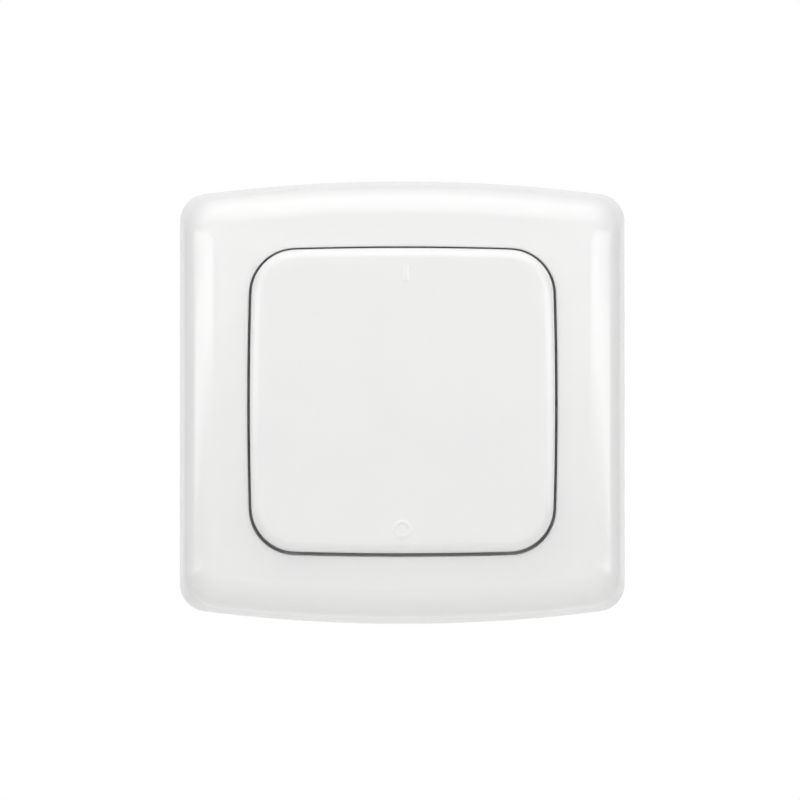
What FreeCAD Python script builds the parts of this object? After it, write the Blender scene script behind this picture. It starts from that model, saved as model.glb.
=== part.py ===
# Wireless remote wall switch: a battery transmitter under one large rocker, in a square bowed frame.
# Every piece is drawn lying on its back, in millimetres: X to the right, Y up the wall and Z out of
# the wall, from the middle of the back face. stand_up() then turns the set upright, so that
# in the finished part Z is up and the rocker faces -Y.
# The photograph shows only the frame and the rocker. What lies behind them is what such switches hold.

import FreeCAD, Part
import math
import os
from FreeCAD import Vector

# Frame: the square cover that shows on the wall
FRAME_SIDE_MARGIN = 10.0      # from the wall box screws outwards to the frame's sides
FRAME_END_MARGIN = 9.8        # and to its top and bottom
FRAME_END_BOW = 2.85          # how far the top and bottom edges stand out in the middle
FRAME_CORNER = 5.0
FRAME_WALL = 2.0
FRAME_DRAFT = 8.0             # lean of the outer walls, in degrees
FRAME_EDGE = 3.4              # round between the outer walls and the front
FRAME_CROWN = 390.0           # radius of the front face, both ways
FRAME_RIB = 1.0
FRAME_RIB_OFFSET = 8.0        # from the middle of each side to its two ribs
FRAME_RIB_DEPTH = 3.2

# Window in the frame: the usual 55 mm opening for a rocker
WINDOW = 55.0
WINDOW_BOW = 0.54
WINDOW_CORNER = 8.3
WINDOW_WALL = 1.4
WINDOW_EDGE = 0.3
LEDGE_WIDTH = 1.0             # turned inwards at the foot of the window's wall, under the rocker's skirt
LEDGE_THICKNESS = 0.8
LEDGE_CLEARANCE = 0.3         # to the rocker's skirt at full tilt

# Rocker
ROCKER_GAP = 0.35             # between the rocker and the window, all round
ROCKER_WALL = 1.5
ROCKER_FACE = 1.6
ROCKER_CROWN = 900.0          # radius of the face, both ways
ROCKER_EDGE = 1.9
ROCKER_PROUD = 2.2            # height of the rocker's edge above the frame at mid-side
ROCKER_SKIRT = 5.4
ROCKER_TILT = 2.2             # travel each way, in degrees
ROCKER_RIB = 0.9
ROCKER_RIB_OFFSET = 6.0
MARK_RISE = 0.1
MARK_OFFSET = 22.7            # from the pivot to each mark
BAR_SHIFT = 0.6               # the bar stands a little right of the middle
BAR_WIDTH = 0.8
BAR_HEIGHT = 3.0
RING_OUTER = 3.3              # diameters
RING_INNER = 2.0

# Snap legs that hold the rocker on its carrier
LEG_THICKNESS = 1.0
LEG_WIDTH = 5.6
LEG_OFFSET = 11.0             # up or down from the pivot
LEG_NOSE = 0.7
LEG_NOSE_HEIGHT = 0.7
LEG_CLEARANCE = 0.2
LEG_HOOK_CLEARANCE = 0.05

# Carrier: the seesaw that turns in the ears of the module
CARRIER_CLEARANCE = 0.7       # from the module's face to the carrier's end at full tilt
CARRIER_PLATE = 1.3
CARRIER_RIM = 1.3
CARRIER_RIM_WALL = 1.2
CARRIER_END_CLEARANCE = 2.65  # to the rocker's skirt, at the top and bottom
CARRIER_CORNER = 2.5
CARRIER_SIDE_CLEARANCE = 0.4
CARRIER_HOLE_MARGIN = 1.0     # beyond the battery opening, all round
TRUNNION_RADIUS = 1.2
TRUNNION_CLEARANCE = 0.05
TRUNNION_RECESS = 0.1         # how far the trunnion stops short of the ear's outer face

# Module: the closed box that holds the electronics
MODULE_CLEARANCE = 0.4        # to the rocker's skirt at its corners
MODULE_WALL = 1.2
MODULE_FLOOR = 1.0
MODULE_SPLIT = 3.4            # height of the base, from the wall plate to the cover
MODULE_LIP = 0.8
MODULE_LIP_WALL = 0.5
MODULE_LIP_CLEARANCE = 0.1
COVER_WALL = 1.2
EAR_THICKNESS = 1.6
EAR_INSET = 0.2
EAR_WIDTH = 5.6
EAR_TOP_CLEARANCE = 0.3
WELL_WALL = 1.0               # round the battery
WELL_FOOT_CLEARANCE = 0.05
OPENING_CHAMFER = 0.5
FINGER_RADIUS = 4.0           # notch for prying the battery out
FINGER_DEPTH = 1.4

# Module screws
SCREW_INSET = 3.8             # from the module's sides to each screw
SCREW_SHANK = 0.8             # radius
SCREW_HEAD = 1.7              # radius
SCREW_HEAD_HEIGHT = 1.2
SCREW_HEAD_SINK = 0.2
SCREW_CLEARANCE = 0.25
SCREW_BITE_CLEARANCE = 0.01
SCREW_TIP_CLEARANCE = 0.1
BOSS_INSIDE = 2.0             # wall of the boss from the screw's middle towards the board
SCREW_SLOT = 0.5

# Circuit board
BOARD_THICKNESS = 1.0
BOARD_STANDOFF = 0.5
BOARD_CLEARANCE = 0.3
BOSS_CLEARANCE = 0.3
POST_WIDTH = 2.4
POST_OFFSET = 18.0
PEG_RADIUS = 0.75
PEG_CLEARANCE = 0.1
PEG_STAND = 0.4               # above the board

# Coin cell and its two contacts
BATTERY_DIAMETER = 20.0
BATTERY_THICKNESS = 3.2
BATTERY_CRIMP = 1.2           # width of the crimped ring round the cap
BATTERY_CAP_STEP = 0.35
BATTERY_EDGE = 0.35
BATTERY_CLEARANCE = 0.4
BATTERY_TO_COVER = 0.1
CONTACT_SHEET = 0.25
CONTACT_RISE = 0.5            # from the board to the cell
CONTACT_WIDTH = 4.0
CONTACT_LENGTH = 11.0
CLIP_WIDTH = 5.0
CLIP_LIP = 1.3
CLIP_FOOT = 1.6
CLIP_CLEARANCE = 0.05
CLIP_NOTCH_CLEARANCE = 0.4

# Push pins, their springs and the switches that they press
COIL_RUNS = 8                 # straight runs in each turn of a wound wire
SWITCH_WELL_CLEARANCE = 0.4   # from the battery well to each switch
PIN_RADIUS = 1.1
PIN_HEAD_RADIUS = 1.95
PIN_HEAD = 0.95
PIN_HEAD_FLAT = 0.35          # radius of the flat on the head
PIN_TOP_CLEARANCE = 0.02
PIN_GUIDE_CLEARANCE = 0.08
PIN_FREE_TRAVEL = 0.2         # from the pin's tip to the switch
GUIDE_FLOOR = 0.8
GUIDE_WALL = 0.9
GUIDE_WELL_CLEARANCE = 0.2
SPRING_WIRE = 0.36
SPRING_TURNS = 3.5
SPRING_CLEARANCE = 0.12       # to the wall of its well
SPRING_END_CLEARANCE = 0.02
SWITCH_BODY = 4.4
SWITCH_HEIGHT = 1.4
SWITCH_CORNER_CUT = 0.5
SWITCH_COVER = 0.15
SWITCH_LEG = 0.7
SWITCH_LEG_REACH = 0.8
ACTUATOR_RADIUS = 0.9
ACTUATOR_FOOT_RADIUS = 1.1
ACTUATOR_HEIGHT = 0.5

# Parts on the board, placed from its middle
CHIP_END = 0.3                # from the outer leads to the ends of the body
CHIP_WIDTH = 3.9
CHIP_HEIGHT = 1.5
CHIP_STAND = 0.12
CHIP_LEADS = 7                # on each side
CHIP_PITCH = 1.27
CHIP_LEAD = 0.4
CHIP_LEAD_REACH = 1.05
CHIP_X, CHIP_Y = -13.0, 14.6
RESONATOR_RADIUS = 4.2
RESONATOR_HEIGHT = 3.2
RESONATOR_X, RESONATOR_Y = 14.2, 13.6
ANTENNA_WIRE = 0.7
ANTENNA_RADIUS = 1.35         # to the middle of the wire
ANTENNA_TURNS = 5
ANTENNA_PITCH = 1.9
ANTENNA_X, ANTENNA_Y = -16.0, -17.6
CAPACITOR_LENGTH, CAPACITOR_WIDTH, CAPACITOR_HEIGHT = 3.5, 2.8, 1.9
CAPACITOR_X, CAPACITOR_Y = 13.0, -12.0
SMALL_PART_LENGTH, SMALL_PART_WIDTH, SMALL_PART_HEIGHT = 2.0, 1.25, 0.6
SMALL_PART_PITCH = 2.6
SMALL_PART_COLUMNS, SMALL_PART_ROWS = 3, 2
SMALL_PARTS_X, SMALL_PARTS_Y = 15.4, -17.0

# Wall plate, its screw slots and its hooks
PLATE_THICKNESS = 1.8
PLATE_INSET = 1.6             # from the frame's inner wall to the plate's edge
PLATE_CORNER = 4.0
PLATE_RIM = 1.0
PLATE_RIM_WALL = 1.2
SLOT_PITCH = 60.0             # the usual distance between wall box screws
SLOT_RADIUS = 2.1
SLOT_LENGTH = 6.6
TAPE_WIDTH, TAPE_HEIGHT, TAPE_DEPTH = 10.0, 46.0, 0.3
TAPE_OFFSET = 14.0
HOOK_THICKNESS = 1.2
HOOK_WIDTH = 8.0
HOOK_NOSE = 0.9
HOOK_NOSE_HEIGHT = 1.6
HOOK_WALL_CLEARANCE = 0.5     # from the frame hook's nose to the frame's wall
HOOK_OFFSET = 18.0
CATCH_BOTTOM = 4.2
CATCH_HEIGHT = 1.2
CATCH_CLEARANCE = 0.3
CATCH_SEAT = 0.05
TAB_DEPTH = 1.2
TAB_WIDTH = 7.0
TAB_HEIGHT = 1.6
TAB_OFFSET = 14.0
TAB_CLEARANCE = 0.2

# Heights above the wall, from the back outwards
plate_top = PLATE_THICKNESS
base_floor = plate_top + MODULE_FLOOR
board_bottom = base_floor + BOARD_STANDOFF
board_top = board_bottom + BOARD_THICKNESS
battery_bottom = board_top + CONTACT_RISE
battery_top = battery_bottom + BATTERY_THICKNESS
split = plate_top + MODULE_SPLIT
cover_inside = battery_top + BATTERY_TO_COVER
cover_top = cover_inside + COVER_WALL
rocker_size = WINDOW - 2 * ROCKER_GAP
carrier_height = rocker_size - 2 * (ROCKER_WALL + CARRIER_END_CLEARANCE)
carrier_swing = carrier_height / 2 * math.sin(math.radians(ROCKER_TILT))
carrier_bottom = cover_top + CARRIER_CLEARANCE + carrier_swing
pivot = carrier_bottom + CARRIER_PLATE / 2
carrier_face = carrier_bottom + CARRIER_PLATE
rocker_inside = carrier_face + CARRIER_RIM
rocker_edge = rocker_inside + ROCKER_FACE
rocker_bottom = rocker_edge - ROCKER_SKIRT
frame_rim = rocker_edge - ROCKER_PROUD
rocker_swing = rocker_size / 2 * math.sin(math.radians(ROCKER_TILT))
ledge_top = rocker_bottom - rocker_swing - LEDGE_CLEARANCE
ledge_bottom = ledge_top - LEDGE_THICKNESS

# Sizes across, from the outside inwards
frame_width = SLOT_PITCH + 2 * FRAME_SIDE_MARGIN
frame_height = SLOT_PITCH + 2 * FRAME_END_MARGIN
rocker_corner = WINDOW_CORNER - ROCKER_GAP
module_size = rocker_size - 2 * (ROCKER_WALL + WINDOW_BOW + MODULE_CLEARANCE)
module_corner = rocker_corner - ROCKER_WALL
module_inside = module_size - 2 * MODULE_WALL
module_inner_corner = module_corner - MODULE_WALL
ear_outside = module_size / 2 - EAR_INSET
ear_inside = ear_outside - EAR_THICKNESS
carrier_width = 2 * (ear_inside - CARRIER_SIDE_CLEARANCE)
board_size = module_inside - 2 * BOARD_CLEARANCE
screw_place = module_size / 2 - SCREW_INSET
battery_opening = BATTERY_DIAMETER / 2 + BATTERY_CLEARANCE
carrier_hole = battery_opening + CARRIER_HOLE_MARGIN
pin_offset = battery_opening + WELL_WALL + SWITCH_WELL_CLEARANCE + SWITCH_BODY / 2
pin_head_bottom = carrier_bottom - PIN_TOP_CLEARANCE - PIN_HEAD
switch_top = board_top + SWITCH_HEIGHT
actuator_top = switch_top + ACTUATOR_HEIGHT
pin_tip = actuator_top + PIN_FREE_TRAVEL
guide_bottom = pin_tip + PIN_FREE_TRAVEL
guide_floor = guide_bottom + GUIDE_FLOOR
guide_well = PIN_HEAD_RADIUS + GUIDE_WELL_CLEARANCE
draft_slope = math.tan(math.radians(FRAME_DRAFT))
plate_width = frame_width - 2 * (FRAME_WALL + PLATE_INSET)
plate_height = frame_height - 2 * (FRAME_WALL + PLATE_INSET)
frame_hook_seat = CATCH_BOTTOM + CATCH_HEIGHT + CATCH_SEAT
frame_hook_top = frame_hook_seat + HOOK_NOSE_HEIGHT
frame_inside_at_hook = frame_width / 2 - FRAME_WALL - frame_hook_top * draft_slope
frame_hook_face = frame_inside_at_hook - HOOK_WALL_CLEARANCE - HOOK_NOSE

UP = Vector(0, 0, 1)
OVER = 1.0                    # how far a cutting tool runs past what it cuts


def box(x_low, x_high, y_low, y_high, z_low, z_high):
    return Part.makeBox(x_high - x_low, y_high - y_low, z_high - z_low, Vector(x_low, y_low, z_low))


def centred_box(x, y, x_size, y_size, z_low, z_high):
    return box(x - x_size / 2, x + x_size / 2, y - y_size / 2, y + y_size / 2, z_low, z_high)


def rod(x, y, radius, z_low, z_high):
    return Part.makeCylinder(radius, z_high - z_low, Vector(x, y, z_low), UP)


def fused(pieces):
    return pieces[0].multiFuse(pieces[1:]).removeSplitter() if len(pieces) > 1 else pieces[0]


def four_ways(shape):
    """The shape and its mirror images across the two middle planes."""
    across = shape.mirror(Vector(), Vector(1, 0, 0))
    return [shape, across] + [s.mirror(Vector(), Vector(0, 1, 0)) for s in (shape, across)]


def both_corners(shape):
    """The shape and its copy turned half round in the opposite corner."""
    opposite = shape.copy()
    opposite.rotate(Vector(), UP, 180)
    return [shape, opposite]


def bowed_edge(start, end, middle):
    """A straight edge, or an arc where its middle stands out of line."""
    if middle.distanceToPoint((start + end) / 2) < 1e-6:
        return Part.LineSegment(start, end).toShape()
    return Part.Arc(start, middle, end).toShape()


def bowed_outline(width, height, side_bow, end_bow, z):
    """A rectangle of that full size whose sides and ends bow outwards, with sharp corners."""
    corner_x, corner_y = width / 2 - side_bow, height / 2 - end_bow
    corners = [Vector(corner_x, -corner_y, z), Vector(corner_x, corner_y, z),
               Vector(-corner_x, corner_y, z), Vector(-corner_x, -corner_y, z)]
    middles = [Vector(width / 2, 0, z), Vector(0, height / 2, z),
               Vector(-width / 2, 0, z), Vector(0, -height / 2, z)]
    edges = [bowed_edge(corners[i], corners[(i + 1) % 4], middles[i]) for i in range(4)]
    return Part.Wire(edges)


def rounded_corners(solid, radius):
    """Rounds the four edges that run from the back to the front."""
    depth = solid.BoundBox.ZLength
    upright = [e for e in solid.Edges if e.BoundBox.ZLength > depth / 2]
    return solid.makeFillet(radius, upright)


def bowed_block(width, height, side_bow, end_bow, corner, z_low, z_high):
    outline = bowed_outline(width, height, side_bow, end_bow, z_low)
    block = Part.Face(outline).extrude(Vector(0, 0, z_high - z_low))
    return rounded_corners(block, corner)


def drafted_block(width, height, end_bow, corner, top):
    """A block with bowed ends whose walls lean in towards the front by the frame's draft."""
    upright = bowed_block(width, height, 0, end_bow, corner, 0, top)
    back = min(upright.Faces, key=lambda f: f.CenterOfMass.z).OuterWire
    front = back.makeOffset2D(-top * draft_slope)
    front.translate(Vector(0, 0, top))
    return Part.makeLoft([back, front], True, True)


def rounded_plate(width, height, corner, z_low, z_high):
    return bowed_block(width, height, 0, 0, corner, z_low, z_high)


def slot_block(x, y, radius, length, along_x, z_low, z_high):
    """A block with round ends, length from end to end."""
    reach = length / 2 - radius
    dx, dy = (reach, 0) if along_x else (0, reach)
    straight = centred_box(x, y, 2 * (dx or radius), 2 * (dy or radius), z_low, z_high)
    ends = [rod(x + s * dx, y + s * dy, radius, z_low, z_high) for s in (-1, 1)]
    return fused([straight] + ends)


def crowned_space(radius, top, reach):
    """The space under a face that is domed with that radius and highest on the Z axis."""
    drop = radius - math.sqrt(radius ** 2 - reach ** 2)
    floor = -reach
    arc = Part.Arc(Vector(-reach, 0, top - drop), Vector(0, 0, top), Vector(reach, 0, top - drop))
    corners = [Vector(reach, 0, top - drop), Vector(reach, 0, floor),
               Vector(-reach, 0, floor), Vector(-reach, 0, top - drop)]
    sides = [Part.LineSegment(corners[i], corners[i + 1]).toShape() for i in range(3)]
    profile = Part.Face(Part.Wire([arc.toShape()] + sides))
    centre = Vector(0, 0, top - radius)
    half_turn = math.degrees(math.asin(reach / radius))
    profile.rotate(centre, Vector(1, 0, 0), -half_turn)
    return profile.revolve(centre, Vector(1, 0, 0), 2 * half_turn)


def round_front(solid, radius, turn):
    """Rounds the edge of the front face in three flats that touch an arc of that radius.

    turn is the angle between the wall and the front face, in degrees."""
    half, quarter, eighth = [math.tan(math.radians(turn / share)) for share in (2, 4, 8)]
    solid = solid.makeChamfer(radius * (half - quarter), highest_face(solid).OuterWire.Edges)
    front = highest_face(solid)
    upper = front.OuterWire.Edges
    flats = [f for f in solid.Faces if not f.isSame(front)
             and any(e.isSame(u) for e in f.Edges for u in upper)]
    lower = []
    for flat in flats:
        others = [e for f in flats if not f.isSame(flat) for e in f.Edges]
        lower += [e for e in flat.Edges if not any(e.isSame(o) for o in others + upper)]
    return solid.makeChamfer(radius * (quarter - eighth), upper + lower)


def highest_face(solid):
    return max(solid.Faces, key=lambda f: f.CenterOfMass.z)


def coil(radius, wire, pitch, turns):
    """A wire wound along Z from z = 0, in short straight runs with six flats for its round section."""
    steps = round(turns * COIL_RUNS)
    rings = []
    for step in range(steps + 1):
        turn = 2 * math.pi * step / COIL_RUNS
        ring = []
        for flat in range(6):
            angle = math.pi * flat / 3
            reach = radius + wire / 2 * math.cos(angle)
            ring.append(Vector(reach * math.cos(turn), reach * math.sin(turn),
                               pitch * step / COIL_RUNS + wire / 2 * math.sin(angle)))
        rings.append(Part.makePolygon(ring + ring[:1]))
    return Part.makeLoft(rings, True, True)


def turned(x, y, profile):
    """A solid of revolution about an axis along Z, from its (radius, z) points."""
    points = [Vector(x + radius, y, z) for radius, z in profile]
    return Part.Face(Part.makePolygon(points + points[:1])).revolve(Vector(x, y, 0), UP, 360)


def frame():
    """Cover frame: a drafted, crowned shell with a ledged skirt round its window, ribs and four catches."""
    window_half = WINDOW / 2
    crown_top = frame_rim + FRAME_CROWN - math.sqrt(FRAME_CROWN ** 2 - window_half ** 2)
    over_top = crown_top + OVER
    outside = drafted_block(frame_width, frame_height, FRAME_END_BOW, FRAME_CORNER, over_top)
    outside = outside.common(crowned_space(FRAME_CROWN, crown_top, frame_width))
    outside = round_front(outside, FRAME_EDGE, 90 - FRAME_DRAFT)

    hollow = drafted_block(frame_width - 2 * FRAME_WALL, frame_height - 2 * FRAME_WALL, FRAME_END_BOW,
                           FRAME_CORNER - FRAME_WALL, over_top)
    hollow = hollow.common(crowned_space(FRAME_CROWN - FRAME_WALL, crown_top - FRAME_WALL, frame_width))
    skirt_size = WINDOW + 2 * WINDOW_WALL
    skirt = bowed_block(skirt_size, skirt_size, WINDOW_BOW, WINDOW_BOW, WINDOW_CORNER + WINDOW_WALL,
                        ledge_bottom, over_top)
    hollow = hollow.cut(skirt)
    rib_bottom = frame_rim - FRAME_WALL - FRAME_RIB_DEPTH
    for offset in (-FRAME_RIB_OFFSET, FRAME_RIB_OFFSET):
        hollow = hollow.cut(centred_box(0, offset, frame_width, FRAME_RIB, rib_bottom, over_top))
        hollow = hollow.cut(centred_box(offset, 0, FRAME_RIB, frame_height, rib_bottom, over_top))
    shell = outside.cut(hollow)

    catch_outside = frame_inside_at_hook + FRAME_WALL / 2
    catch = box(frame_hook_face + CATCH_CLEARANCE, catch_outside, HOOK_OFFSET - HOOK_WIDTH / 2,
                HOOK_OFFSET + HOOK_WIDTH / 2, CATCH_BOTTOM, CATCH_BOTTOM + CATCH_HEIGHT)
    shell = fused([shell] + four_ways(catch))

    window = bowed_block(WINDOW, WINDOW, WINDOW_BOW, WINDOW_BOW, WINDOW_CORNER, ledge_top, over_top)
    opening_size = WINDOW - 2 * LEDGE_WIDTH
    opening = bowed_block(opening_size, opening_size, WINDOW_BOW, WINDOW_BOW,
                          WINDOW_CORNER - LEDGE_WIDTH, -OVER, over_top)
    shell = shell.cut(opening).cut(window)
    front = max((f for f in shell.Faces if len(f.Wires) > 1), key=lambda f: f.BoundBox.ZMax)
    rim = [w for w in front.Wires if not w.isSame(front.OuterWire)][0]
    return shell.makeChamfer(WINDOW_EDGE, rim.Edges)


def rocker():
    """Rocker: a crowned cap with a skirt, two raised marks, ribs and four snap legs."""
    top = rocker_edge + ROCKER_CROWN - math.sqrt(ROCKER_CROWN ** 2 - (rocker_size / 2) ** 2)
    cap = bowed_block(rocker_size, rocker_size, WINDOW_BOW, WINDOW_BOW, rocker_corner,
                      rocker_bottom, top + OVER)
    cap = cap.common(crowned_space(ROCKER_CROWN, top, rocker_size))
    cap = round_front(cap, ROCKER_EDGE, 90)
    inner_size = rocker_size - 2 * ROCKER_WALL
    inside = bowed_block(inner_size, inner_size, WINDOW_BOW, WINDOW_BOW, rocker_corner - ROCKER_WALL,
                         rocker_bottom - OVER, rocker_inside)
    cap = cap.cut(inside)

    rib_reach = carrier_height / 2 - CARRIER_RIM_WALL - LEG_CLEARANCE
    rib_bottom = carrier_face + LEG_HOOK_CLEARANCE
    rib_length = rib_reach - pin_offset + PIN_HEAD_RADIUS
    ribs = []
    for side in (-1, 1):
        for end in (-1, 1):
            y = end * (rib_reach - rib_length / 2)
            ribs.append(centred_box(side * ROCKER_RIB_OFFSET, y, ROCKER_RIB, rib_length,
                                    rib_bottom, rocker_inside + ROCKER_FACE / 2))
    leg_outside = carrier_width / 2 - LEG_CLEARANCE
    leg_inside = leg_outside - LEG_THICKNESS
    nose_top = carrier_bottom - LEG_HOOK_CLEARANCE
    leg_end = nose_top - LEG_NOSE_HEIGHT
    profile = Part.makePolygon([
        Vector(leg_outside, 0, rocker_inside + ROCKER_FACE / 2), Vector(leg_outside, 0, leg_end),
        Vector(leg_inside, 0, leg_end), Vector(leg_inside - LEG_NOSE, 0, nose_top),
        Vector(leg_inside, 0, nose_top), Vector(leg_inside, 0, rocker_inside + ROCKER_FACE / 2),
        Vector(leg_outside, 0, rocker_inside + ROCKER_FACE / 2)])
    leg = Part.Face(profile).extrude(Vector(0, LEG_WIDTH, 0))
    leg.translate(Vector(0, LEG_OFFSET - LEG_WIDTH / 2, 0))

    mark_space = crowned_space(ROCKER_CROWN, top + MARK_RISE, rocker_size)
    mark_foot = rocker_edge - ROCKER_FACE / 2
    bar = centred_box(BAR_SHIFT, MARK_OFFSET, BAR_WIDTH, BAR_HEIGHT, mark_foot, top + OVER)
    ring = rod(0, -MARK_OFFSET, RING_OUTER / 2, mark_foot, top + OVER)
    ring = ring.cut(rod(0, -MARK_OFFSET, RING_INNER / 2, rocker_inside, top + 2 * OVER))
    marks = [bar.common(mark_space), ring.common(mark_space)]
    return fused([cap] + ribs + four_ways(leg) + marks)


def rocker_carrier():
    """Seesaw: a rimmed plate with a round opening, notches for the snap legs and two trunnions."""
    outline = (carrier_width, carrier_height, CARRIER_CORNER)
    block = rounded_plate(*outline, carrier_bottom, rocker_inside)
    hollow = rounded_plate(carrier_width - 2 * CARRIER_RIM_WALL, carrier_height - 2 * CARRIER_RIM_WALL,
                           CARRIER_CORNER - CARRIER_RIM_WALL, carrier_face, rocker_inside + OVER)
    tray = block.cut(hollow)
    opening = rod(0, 0, carrier_hole, carrier_bottom - OVER, rocker_inside)
    notch_depth = LEG_THICKNESS + 2 * LEG_CLEARANCE
    notch = centred_box(carrier_width / 2 - notch_depth / 2 + OVER / 2, LEG_OFFSET,
                        notch_depth + OVER, LEG_WIDTH + 2 * LEG_CLEARANCE,
                        carrier_bottom - OVER, rocker_inside + OVER)
    tray = tray.cut(opening.multiFuse(four_ways(notch)))
    length = ear_outside - TRUNNION_RECESS
    reach = carrier_width / 2 - CARRIER_RIM_WALL
    trunnions = []
    for side in (-1, 1):
        pin = Part.makeCylinder(TRUNNION_RADIUS, length - reach, Vector(side * reach, 0, pivot),
                                Vector(side, 0, 0))
        trunnions.append(pin)
    return fused([tray] + trunnions)


def screw_boss(z_low, z_high):
    """Pillar that fills the module's corner round a screw."""
    inside = screw_place - BOSS_INSIDE
    size, corner = module_size - MODULE_WALL, module_corner - MODULE_WALL / 2
    pillar = box(inside, module_size, inside, module_size, z_low, z_high)
    return pillar.common(rounded_plate(size, size, corner, z_low, z_high))


def module_base():
    """Back half of the module: an open tray with a lip, board posts, screw bosses and four tabs."""
    tray = rounded_plate(module_size, module_size, module_corner, plate_top, split)
    hollow = rounded_plate(module_inside, module_inside, module_inner_corner, base_floor, split + OVER)
    lip_size = module_inside + 2 * MODULE_LIP_WALL
    lip = rounded_plate(lip_size, lip_size, module_inner_corner + MODULE_LIP_WALL, split, split + MODULE_LIP)
    inside = screw_place - BOSS_INSIDE - BOSS_CLEARANCE
    gap = box(inside, module_size, inside, module_size, split, split + MODULE_LIP)
    lip = lip.cut(Part.Compound([hollow] + both_corners(gap)))

    boss = screw_boss(plate_top + MODULE_FLOOR / 2, split)
    post = centred_box(POST_OFFSET, 0, POST_WIDTH, POST_WIDTH, plate_top + MODULE_FLOOR / 2, board_bottom)
    peg = rod(POST_OFFSET, 0, PEG_RADIUS, plate_top + MODULE_FLOOR / 2, board_top + PEG_STAND)
    posts = both_corners(post) + both_corners(peg)
    tab = box(TAB_OFFSET - TAB_WIDTH / 2, TAB_OFFSET + TAB_WIDTH / 2,
              module_size / 2 - MODULE_WALL / 2, module_size / 2 + TAB_DEPTH,
              plate_top, plate_top + TAB_HEIGHT)
    base = fused([tray.cut(hollow), lip] + both_corners(boss) + posts + four_ways(tab))
    pilot = rod(screw_place, screw_place, SCREW_SHANK + SCREW_BITE_CLEARANCE,
                base_floor - SCREW_TIP_CLEARANCE, split + OVER)
    for hole in both_corners(pilot):
        base = base.cut(hole)
    return base


def module_cover():
    """Front half of the module: battery well, two pin guides, bearing ears and screw bosses."""
    shell = rounded_plate(module_size, module_size, module_corner, split, cover_top)
    hollow = rounded_plate(module_inside, module_inside, module_inner_corner, split - OVER, cover_inside)
    groove_wall = MODULE_LIP_WALL + MODULE_LIP_CLEARANCE
    groove_size = module_inside + 2 * groove_wall
    groove = rounded_plate(groove_size, groove_size, module_inner_corner + groove_wall,
                           split - OVER, split + MODULE_LIP + MODULE_LIP_CLEARANCE)
    shell = shell.cut(hollow.fuse(groove))

    middle = cover_top - COVER_WALL / 2
    well = rod(0, 0, battery_opening + WELL_WALL, board_top + WELL_FOOT_CLEARANCE, middle)
    boss = screw_boss(split, middle)
    guide_width = 2 * (guide_well + GUIDE_WALL)
    guide = centred_box(0, pin_offset, guide_width, guide_width, guide_bottom, middle)
    guides = [guide, guide.mirror(Vector(), Vector(0, 1, 0))]
    ear_top = rocker_inside - EAR_TOP_CLEARANCE
    ear = box(ear_inside, ear_outside, -EAR_WIDTH / 2, EAR_WIDTH / 2, middle, ear_top)
    ear = ear.makeFillet(EAR_WIDTH / 3, [e for e in ear.Edges
                                         if e.BoundBox.XLength > EAR_THICKNESS / 2
                                         and e.CenterOfMass.z > ear_top - OVER / 2])
    ears = [ear, ear.mirror(Vector(), Vector(1, 0, 0))]
    cover = fused([shell, well] + both_corners(boss) + guides + ears)

    opening = rod(0, 0, battery_opening, split - OVER, cover_top + OVER)
    lead_in = Part.makeCone(battery_opening, battery_opening + OPENING_CHAMFER + OVER,
                            OPENING_CHAMFER + OVER, Vector(0, 0, cover_top - OPENING_CHAMFER), UP)
    finger = rod(-battery_opening, 0, FINGER_RADIUS, cover_top - FINGER_DEPTH, cover_top + OVER)
    clip_reach = battery_opening + CONTACT_SHEET + CLIP_FOOT + CLIP_NOTCH_CLEARANCE
    clip_notch = centred_box(clip_reach / 2, 0, clip_reach, CLIP_WIDTH + 2 * CLIP_NOTCH_CLEARANCE,
                             board_bottom, cover_top + OVER)
    cuts = [opening, lead_in, finger, clip_notch]
    for end in (-1, 1):
        y = end * pin_offset
        cuts.append(rod(0, y, PIN_RADIUS + PIN_GUIDE_CLEARANCE, guide_bottom - OVER, cover_top))
        cuts.append(rod(0, y, guide_well, guide_floor, cover_top + OVER))
    head_seat = cover_top - SCREW_HEAD_SINK - SCREW_HEAD_HEIGHT
    screw_hole = rod(screw_place, screw_place, SCREW_SHANK + SCREW_CLEARANCE, split - OVER, cover_top)
    head_hole = rod(screw_place, screw_place, SCREW_HEAD + SCREW_CLEARANCE, head_seat, cover_top + OVER)
    cuts += both_corners(screw_hole) + both_corners(head_hole)
    cuts.append(Part.makeCylinder(TRUNNION_RADIUS + TRUNNION_CLEARANCE, module_size + 2 * OVER,
                                  Vector(-module_size / 2 - OVER, 0, pivot), Vector(1, 0, 0)))
    for cut in cuts:
        cover = cover.cut(cut)
    return cover


def module_screws():
    """Two self-tapping screws with a slotted head, as one group."""
    seat = cover_top - SCREW_HEAD_SINK - SCREW_HEAD_HEIGHT
    top = seat + SCREW_HEAD_HEIGHT
    profile = [(0, base_floor), (SCREW_SHANK, base_floor), (SCREW_SHANK, seat), (SCREW_HEAD, seat),
               (SCREW_HEAD, top), (0, top)]
    slot = centred_box(screw_place, screw_place, SCREW_SLOT, 2 * SCREW_HEAD + OVER,
                       seat + SCREW_HEAD_HEIGHT / 2, top + OVER)
    return Part.Compound(both_corners(turned(screw_place, screw_place, profile).cut(slot)))


def circuit_board():
    """Board with notched corners round the screw bosses and two holes for the locating pegs."""
    board = rounded_plate(board_size, board_size, module_inner_corner - BOARD_CLEARANCE,
                          board_bottom, board_top)
    inside = screw_place - BOSS_INSIDE - BOSS_CLEARANCE
    notch = box(inside, board_size, inside, board_size, board_bottom - OVER, board_top + OVER)
    peg_hole = rod(POST_OFFSET, 0, PEG_RADIUS + PEG_CLEARANCE, board_bottom - OVER, board_top + OVER)
    for cut in both_corners(notch) + both_corners(peg_hole):
        board = board.cut(cut)
    return board


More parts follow.
